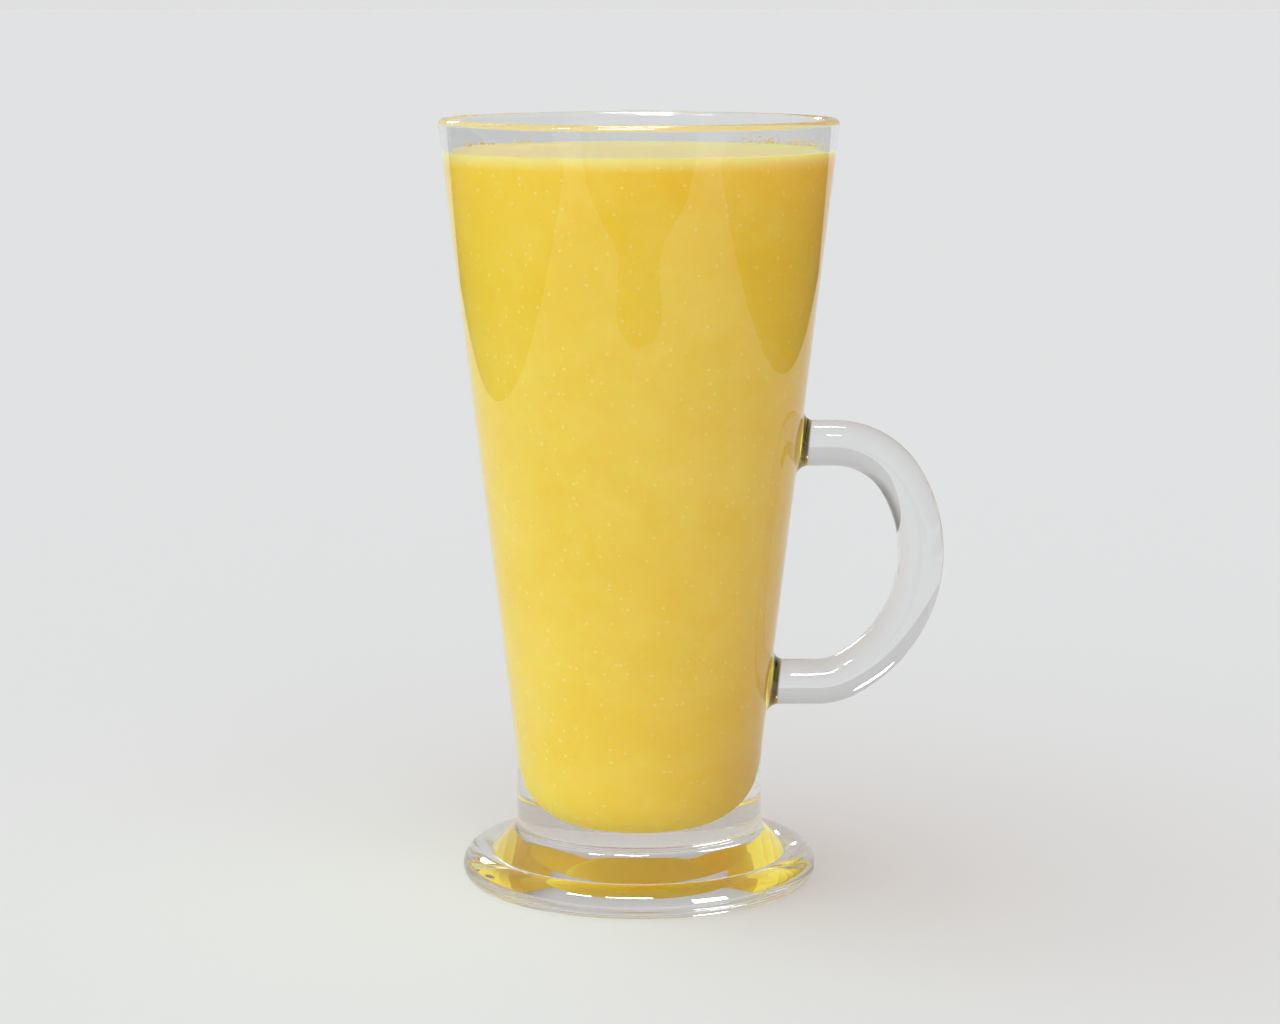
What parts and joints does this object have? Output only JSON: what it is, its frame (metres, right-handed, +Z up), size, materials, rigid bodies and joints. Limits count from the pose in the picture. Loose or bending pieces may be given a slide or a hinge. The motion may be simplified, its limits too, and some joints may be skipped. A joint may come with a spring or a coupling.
{
  "type": "glass of mango lassi",
  "caption": "Tall conical glass on a round foot with a bent rod handle, filled with yellow mango lassi to just under the rim.",
  "frame": {"origin": "on the axis of the bowl, at the underside of the foot", "axes": "+Z up along the bowl's axis to the lip, +X from the axis towards the handle, +Y away from a viewer who has the handle at the right"},
  "size_m": [0.102, 0.08, 0.155],
  "materials": {
    "clear_glass": "polished",
    "mango_lassi": "smooth opaque drink, glossy where free"
  },
  "bodies": {
    "root": {"glass": "clear_glass", "lassi": "mango_lassi"}
  },
  "joints": []
}
